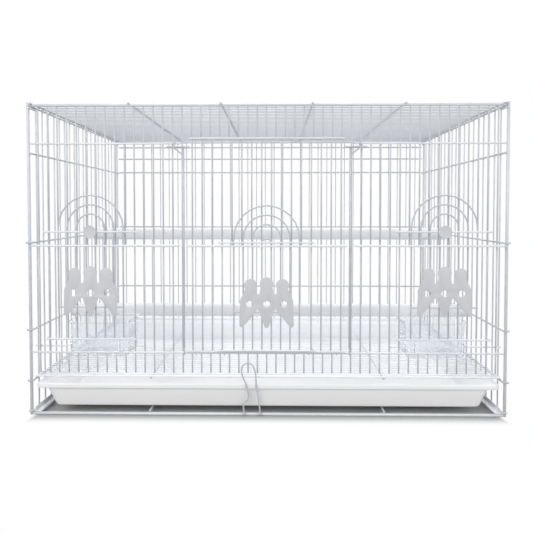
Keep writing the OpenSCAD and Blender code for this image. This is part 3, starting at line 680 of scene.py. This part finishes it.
def build_centre_door():
    half_places = [(i + 0.5) * DOOR_PITCH for i in range(8)]
    inner = [s * x for x in half_places[:4] for s in (LEFT, RIGHT)]
    outer = [s * x for x in half_places[4:] for s in (LEFT, RIGHT)]
    wires = [uprights(inner, MID_Z - 0.4, HEADER_Z + 0.4, DOOR_Y),
             uprights(outer, SPLIT_MID, HEADER_Z + 0.4, DOOR_Y)]
    rails = [rod((-DOOR_HEADER_HALF, DOOR_RAIL_Y, HEADER_Z), (DOOR_HEADER_HALF, DOOR_RAIL_Y, HEADER_Z), RAIL),
             rod((-DOOR_HALF, DOOR_RAIL_Y, MID_Z), (DOOR_HALF, DOOR_RAIL_Y, MID_Z), RAIL),
             keeper_bar(-DOOR_HALF, DOOR_HALF, DOOR_KEEPER_Y, DOOR_RAIL_Y, MID_Z)]
    rails += ladder(inner + outer, [HEADER_Z, MID_Z], DOOR_WELD_Y, WELD)
    hand_over(panel(wires, rails), "centre_door_upper_wires", "centre_door", "coated_wire",
              "centre_door_upper_grille")
    right = uprights(half_places[4:], BOTTOM_Z + 1.2, LOOSE_TOP, DOOR_Y)
    for obj, hand in ((other_side(right), "left"), (right, "right")):
        hand_over(obj, f"centre_door_{hand}_uprights", "centre_door", "coated_wire",
                  f"centre_door_{hand}_wires")
    eye_places = [s * (JAMB_X - i * CENTRE_PITCH) for s in (LEFT, RIGHT) for i in (1.5, 4.5)]
    parts = [rod((-DOOR_HALF, DOOR_RAIL_Y, BOTTOM_Z), (DOOR_HALF, DOOR_RAIL_Y, BOTTOM_Z), RAIL)]
    parts += [eye(x, DOOR_RAIL_Y, BOTTOM_Z) for x in eye_places]
    # The sill bar takes the lighter rail copy of the coating: painted light.
    hand_over(joined(parts), "centre_door_sill_bar", "centre_door", "coated_wire", "centre_door_bottom_rail",
              painted_light_copy="painted_light_rail_wire")


def build_latches():
    """A side rod of the centre door: an eye on the sill, a finger bar and a tip hooked over the rail."""
    x, y, bar_z, slope = 105, -204.8, 342.8, math.radians(38)
    hook = bent((x, y, bar_z - 10), (math.cos(slope), 0, math.sin(slope)),
                [11.66, (6, 52, (0, -1, 0)), 3.6, (1.6, 90, (-1, 0, 0)), 2.2], WIRE)
    right = joined([rod((x, y, 87.5), (x, y, bar_z + 1), ROD, 14), eye(x, y, 88.5),
                    rod((x - 7.5, y - 2.4, bar_z), (x + 20.5, y - 2.4, bar_z), RAIL), hook,
                    drop((x, y - 1.3, bar_z), (1.9, 0.8, 1.6)),
                    drop((x + 0.2, y, bar_z - 9.6), (1.7, 1.6, 2.2))])
    for obj, hand in ((other_side(right), "left"), (right, "right")):
        hand_over(obj, f"centre_door_{hand}_latch", "centre_door", "coated_wire", f"centre_door_{hand}_rod")


# ------------------------------------------------------------------ plastic pieces

def build_perches():
    """A moulded dowel with rounded ends that are notched over the side rails."""
    radius, length, rounding = 9.75, 600.8, 2.5
    notch_x, notch_top, notch_size = 298.2, 1.55, Vector((20, 40, 30))
    for y, rail_z, name in ((45, HOOKED_RAILS[2], "upper_perch"), (-60, HOOKED_RAILS[1], "lower_perch")):
        bpy.ops.mesh.primitive_cylinder_add(vertices=36, radius=radius * MM, depth=length * MM,
                                            end_fill_type="NGON", location=Vector((0, y, rail_z + 0.5)) * MM,
                                            rotation=(0, math.radians(90), 0))
        perch = placed(bpy.context.object)
        round_ends(perch, rounding)
        for side in (LEFT, RIGHT):
            middle = Vector((side * (notch_x + notch_size.x / 2), y, rail_z + notch_top - notch_size.z / 2))
            bpy.ops.mesh.primitive_cube_add(size=1, location=middle * MM, scale=notch_size * MM)
            notch = placed(bpy.context.object)
            apply_modifier(perch, "BOOLEAN", operation="DIFFERENCE", object=notch, solver="EXACT")
            bpy.data.objects.remove(notch)
        hand_over(perch, name + "_dowel", "cage", "perch_plastic", name, smooth=25)


def build_cups():
    """A thin clear cup with a rim on three sides and two lugs over the wires."""
    width, depth, height, wall = 76, 58, 45, 1.2
    front_y, low, corner, foot = -198.4, 74, 8, 5
    lug_x, lug_y, lug_z, lug_size = 31, -202, 90.6, Vector((5, 9.8, 15))
    middle = Vector((CUP_X, front_y + depth / 2, low + height / 2))
    bpy.ops.mesh.primitive_cube_add(size=1, location=middle * MM, scale=(width * MM, depth * MM, height * MM))
    cup = placed(bpy.context.object)
    pick_edges(cup, lambda a, b: abs(a.z - b.z) > 1)
    bpy.ops.mesh.bevel(offset=corner * MM, segments=5, affect="EDGES")
    done_editing()
    pick_edges(cup, lambda a, b: max(a.z, b.z) < low + 0.01)
    bpy.ops.mesh.bevel(offset=foot * MM, segments=4, affect="EDGES")
    done_editing()
    pick_faces(cup, lambda face: face.normal.z > 0.9)
    bpy.ops.mesh.delete(type="ONLY_FACE")
    done_editing()
    pick_edges(cup, lambda a, b: min(a.z, b.z) > low + height - 0.1)
    bpy.ops.mesh.extrude_region_move(TRANSFORM_OT_translate={"value": (0, 0, 0)})
    bpy.ops.transform.resize(value=((width + 6) / width, (depth + 3) / depth, 1),
                             center_override=Vector((CUP_X, front_y, low + height)) * MM)
    bpy.ops.mesh.extrude_region_move(TRANSFORM_OT_translate={"value": (0, 0, -wall * MM)})
    done_editing()
    apply_modifier(cup, "SOLIDIFY", thickness=wall * MM, offset=-1)
    parts = [cup]
    for side in (LEFT, RIGHT):
        middle = Vector((CUP_X + side * lug_x, lug_y, lug_z))
        bpy.ops.mesh.primitive_cube_add(size=1, location=middle * MM, scale=lug_size * MM)
        parts.append(bevelled(placed(bpy.context.object), 0.7))
    right = joined(parts)
    hand_over(other_side(right), "left_seed_cup", "cage", "clear_plastic", "left_feeder_cup", smooth=35)
    hand_over(right, "right_seed_cup", "cage", "clear_plastic", "right_feeder_cup", smooth=35)


def build_tray():
    """A moulded tray as one sheet: the turned-down lip, over the rim, down the walls to the floor."""
    # Half width, front, back and height of the sheet at each level
    levels = [(295.6, -200.2, 186.4, 34.9), (296.8, -201.4, 187.6, 34.9), (297.2, -201.8, 188, 35.5),
              (297.2, -201.8, 188, 39.2), (296.9, -201.5, 187.7, 40.2),
              (296.0, -200.8, 186.8, 40.9), (286.6, -199.0, 182.2, 40.9), (285.8, -198.5, 181.5, 40.2),
              (273.8, -196.9, 179.9, 15.2), (273.0, -196.4, 179.4, 13.4), (271.1, -195.5, 178.7, 12.6)]
    corner, wall = 7, 1.4
    rib_x, rib_y, rib_z, rib_size = 150, -8.4, 9.45, Vector((8, 342, 4))
    half, y0, y1, z = levels[0]
    bpy.ops.mesh.primitive_plane_add(size=1, location=(0, (y0 + y1) / 2 * MM, z * MM))
    tray = bpy.context.object
    tray.scale = (2 * half * MM, (y1 - y0) * MM, 1)
    placed(tray)
    bpy.ops.object.mode_set(mode="EDIT")
    bpy.ops.mesh.select_all(action="SELECT")
    bpy.ops.mesh.bevel(offset=corner * MM, segments=6, affect="VERTICES")
    bpy.ops.mesh.delete(type="ONLY_FACE")
    bpy.ops.mesh.select_all(action="SELECT")
    for now, new in zip(levels, levels[1:]):
        old_middle, new_middle = (now[1] + now[2]) / 2, (new[1] + new[2]) / 2
        bpy.ops.mesh.extrude_region_move(
            TRANSFORM_OT_translate={"value": (0, (new_middle - old_middle) * MM, (new[3] - now[3]) * MM)})
        bpy.ops.transform.resize(value=(new[0] / now[0], (new[2] - new[1]) / (now[2] - now[1]), 1),
                                 center_override=(0, new_middle * MM, new[3] * MM))
    bpy.ops.mesh.edge_face_add()
    done_editing()
    pick_faces(tray, lambda face: len(face.vertices) > 8)
    bpy.ops.mesh.inset(thickness=3.4 * MM)
    bpy.ops.mesh.inset(thickness=1.2 * MM)
    bpy.ops.transform.translate(value=(0, 0, -0.35 * MM))
    bpy.ops.mesh.select_all(action="SELECT")
    bpy.ops.mesh.normals_make_consistent(inside=False)
    done_editing()
    floor = max(tray.data.polygons, key=lambda face: len(face.vertices))
    apply_modifier(tray, "SOLIDIFY", thickness=wall * MM, offset=-1 if floor.normal.z > 0 else 1)
    parts = [tray]
    for side in (LEFT, RIGHT):
        middle = Vector((side * rib_x, rib_y, rib_z))
        bpy.ops.mesh.primitive_cube_add(size=1, location=middle * MM, scale=rib_size * MM)
        parts.append(bevelled(placed(bpy.context.object), 0.8))
    hand_over(joined(parts), "tray_moulding", "tray", "white_plastic", "tray", smooth=30)


def build_clip():
    """The bent wire clip in front of the tray, with its two feet."""
    # The bends of the wire from foot to foot: place across and height
    path = [(-28.5, 3), (-29.5, 9.5), (-29.8, 15.5), (-28, 18.5), (-24.8, 21), (-23.2, 25), (-23.2, 30),
            (-25, 36.5), (-27, 43), (-29.2, 48.5), (-31.5, 53.5), (-32, 60), (-30.8, 65), (-27.5, 68),
            (-22.6, 68.8), (-18.2, 66.7), (-16.2, 62.4), (-14, 56), (-13.6, 47), (-13.4, 39), (-12.4, 33),
            (-11, 25), (-9.8, 18.5), (-9, 12), (-8.2, 3)]
    for _ in range(2):
        eased = [path[0]]
        for (ax, az), (bx, bz) in zip(path, path[1:]):
            eased += [(near * ax + (1 - near) * bx, near * az + (1 - near) * bz) for near in (0.75, 0.25)]
        path = eased + [path[-1]]
    clip_y, foot_radius, foot_half = -203.45, 1.15, 2.4
    way = Vector((path[1][0] - path[0][0], 0, path[1][1] - path[0][1]))
    bpy.ops.mesh.primitive_circle_add(vertices=12, radius=WIRE * MM, fill_type="NGON",
                                      location=(path[0][0] * MM, clip_y * MM, path[0][1] * MM),
                                      rotation=way.to_track_quat("Z", "Y").to_euler())
    clip = placed(bpy.context.object)
    bpy.ops.object.mode_set(mode="EDIT")
    bpy.ops.mesh.select_all(action="SELECT")
    lean = math.atan2(way.x, way.z)
    for i in range(1, len(path)):
        step = Vector((path[i][0] - path[i - 1][0], 0, path[i][1] - path[i - 1][1]))
        bpy.ops.mesh.extrude_region_move(TRANSFORM_OT_translate={"value": step * MM})
        ahead = path[min(i + 1, len(path) - 1)]
        across = (ahead[0] - path[i - 1][0], ahead[1] - path[i - 1][1])
        new_lean = math.atan2(across[0], across[1])
        turn = (new_lean - lean + math.pi) % (2 * math.pi) - math.pi
        bpy.ops.transform.rotate(value=-turn, orient_axis="Y",
                                 center_override=(path[i][0] * MM, clip_y * MM, path[i][1] * MM))
        lean = new_lean
    done_editing()
    round_ends(clip, WIRE)
    feet = [rod((x - foot_half, clip_y, z), (x + foot_half, clip_y, z), foot_radius, 14)
            for x, z in (path[0], path[-1])]
    hand_over(joined([clip] + feet), "tray_clip_wire", "tray_clip", "coated_wire", "tray_clip")


build_frame()
build_lower_grille()
build_upper_grilles()
build_front_wires()
build_sides()
build_back()
build_top()
build_floor_grille()
build_base()
build_runners()
build_holders()
build_small_doors()
build_bird_plates()
build_finger_plates()
build_centre_door()
build_latches()
build_perches()
build_cups()
build_tray()
build_clip()


# ------------------------------------------------------------------ floor, light and camera

def math_node(tree, operation, first, second=None):
    """One step of arithmetic on a value; the second input may be a number or a socket."""
    node = tree.nodes.new("ShaderNodeMath")
    node.operation = operation
    tree.links.new(first, node.inputs[0])
    if isinstance(second, (int, float)):
        node.inputs[1].default_value = second
    elif second is not None:
        tree.links.new(second, node.inputs[1])
    return node.outputs[0]


def rise(tree, value, low, high, top=1.0):
    """A soft step from 0 at low to top at high."""
    node = tree.nodes.new("ShaderNodeMapRange")
    node.interpolation_type = "SMOOTHSTEP"
    node.inputs["From Min"].default_value = low
    node.inputs["From Max"].default_value = high
    node.inputs["To Max"].default_value = top
    tree.links.new(value, node.inputs["Value"])
    return node.outputs["Result"]


def pale_stage():
    """A floor that keeps the shadow under and near the cage and turns into plain white further away."""
    material, tree, shader, where = new_material("pale_floor", (0.53, 0.53, 0.53), 0.9)
    shader.inputs["Specular IOR Level"].default_value = 0.0
    path = tree.nodes.new("ShaderNodeLightPath")
    seen = math_node(tree, "MAXIMUM", path.outputs["Is Camera Ray"], path.outputs["Is Transmission Ray"])
    split = tree.nodes.new("ShaderNodeSeparateXYZ")
    tree.links.new(where, split.inputs[0])
    half_width, half_depth, steeper = 0.293, 0.2, 3.5
    past_side = math_node(tree, "SUBTRACT", math_node(tree, "ABSOLUTE", split.outputs["X"]), half_width)
    past_side = math_node(tree, "MULTIPLY", past_side, steeper)
    past_front = math_node(tree, "SUBTRACT", math_node(tree, "ABSOLUTE", split.outputs["Y"]), half_depth)
    outside = math_node(tree, "MAXIMUM", past_side, past_front)
    shader.inputs["Emission Color"].default_value = (1, 1, 1, 1)
    tree.links.new(math_node(tree, "MULTIPLY", rise(tree, outside, 0.004, 0.03, 0.2), seen),
                   shader.inputs["Emission Strength"])
    white = tree.nodes.new("ShaderNodeEmission")
    white.inputs["Color"].default_value = (1, 1, 1, 1)
    white.inputs["Strength"].default_value = 1.0
    mix = tree.nodes.new("ShaderNodeMixShader")
    tree.links.new(math_node(tree, "MULTIPLY", rise(tree, outside, 0.0, 0.032), seen), mix.inputs["Fac"])
    tree.links.new(shader.outputs[0], mix.inputs[1])
    tree.links.new(white.outputs[0], mix.inputs[2])
    tree.links.new(mix.outputs[0], tree.nodes["Material Output"].inputs["Surface"])
    bpy.ops.mesh.primitive_plane_add(size=7, location=(0, 0, 0))
    floor = bpy.context.object
    floor.name = "floor"
    floor.data.materials.append(material)


def world_light():
    """Soft light all round, and plain white behind the cage."""
    world = bpy.data.worlds.new("studio")
    bpy.context.scene.world = world
    world.use_nodes = True
    tree = world.node_tree
    tree.nodes.clear()
    out = tree.nodes.new("ShaderNodeOutputWorld")
    path = tree.nodes.new("ShaderNodeLightPath")
    seen = path.outputs["Is Camera Ray"]
    for ray in ("Is Glossy Ray", "Is Transmission Ray"):
        seen = math_node(tree, "MAXIMUM", seen, path.outputs[ray])
    soft = tree.nodes.new("ShaderNodeBackground")
    soft.inputs["Color"].default_value = (0.98, 0.99, 1.0, 1)
    soft.inputs["Strength"].default_value = 0.2
    white = tree.nodes.new("ShaderNodeBackground")
    white.inputs["Color"].default_value = (1, 1, 1, 1)
    white.inputs["Strength"].default_value = 1.0
    mix = tree.nodes.new("ShaderNodeMixShader")
    tree.links.new(seen, mix.inputs["Fac"])
    tree.links.new(soft.outputs[0], mix.inputs[1])
    tree.links.new(white.outputs[0], mix.inputs[2])
    tree.links.new(mix.outputs[0], out.inputs["Surface"])


def softbox(name, place, aim, size, power):
    bpy.ops.object.light_add(type="AREA", location=place)
    lamp = bpy.context.object
    lamp.name = name
    lamp.data.shape = "RECTANGLE"
    lamp.data.size, lamp.data.size_y = size
    lamp.data.energy = power
    way = [aim[i] - place[i] for i in range(3)]
    lamp.rotation_euler = (math.atan2(math.hypot(way[0], way[1]), -way[2]), 0,
                           math.atan2(way[1], way[0]) - math.pi / 2)


def camera():
    """The camera's place and lens, fitted to the rails and posts in the photograph."""
    bpy.ops.object.camera_add(location=(0.0107, -0.9128, 0.2654),
                              rotation=(math.radians(90 - 1.86), 0, math.radians(0.88)))
    cam = bpy.context.object
    cam.name = "photo_camera"
    cam.data.lens = 37.96
    cam.data.sensor_width = 36
    cam.data.shift_y = -0.0743
    bpy.context.scene.camera = cam


pale_stage()
world_light()
CAGE_MIDDLE = (0, 0, 0.2)
softbox("key", (-1.3, -1.9, 1.4), CAGE_MIDDLE, (1.8, 1.4), 33)
softbox("fill", (1.6, -1.6, 1.0), CAGE_MIDDLE, (1.6, 1.4), 19)
softbox("back", (0.4, 2.1, 1.5), CAGE_MIDDLE, (1.8, 1.2), 16)
softbox("top", (0, 0.8, 2.1), CAGE_MIDDLE, (2.2, 1.8), 38)
camera()
scene = bpy.context.scene
scene.view_settings.view_transform = "Standard"
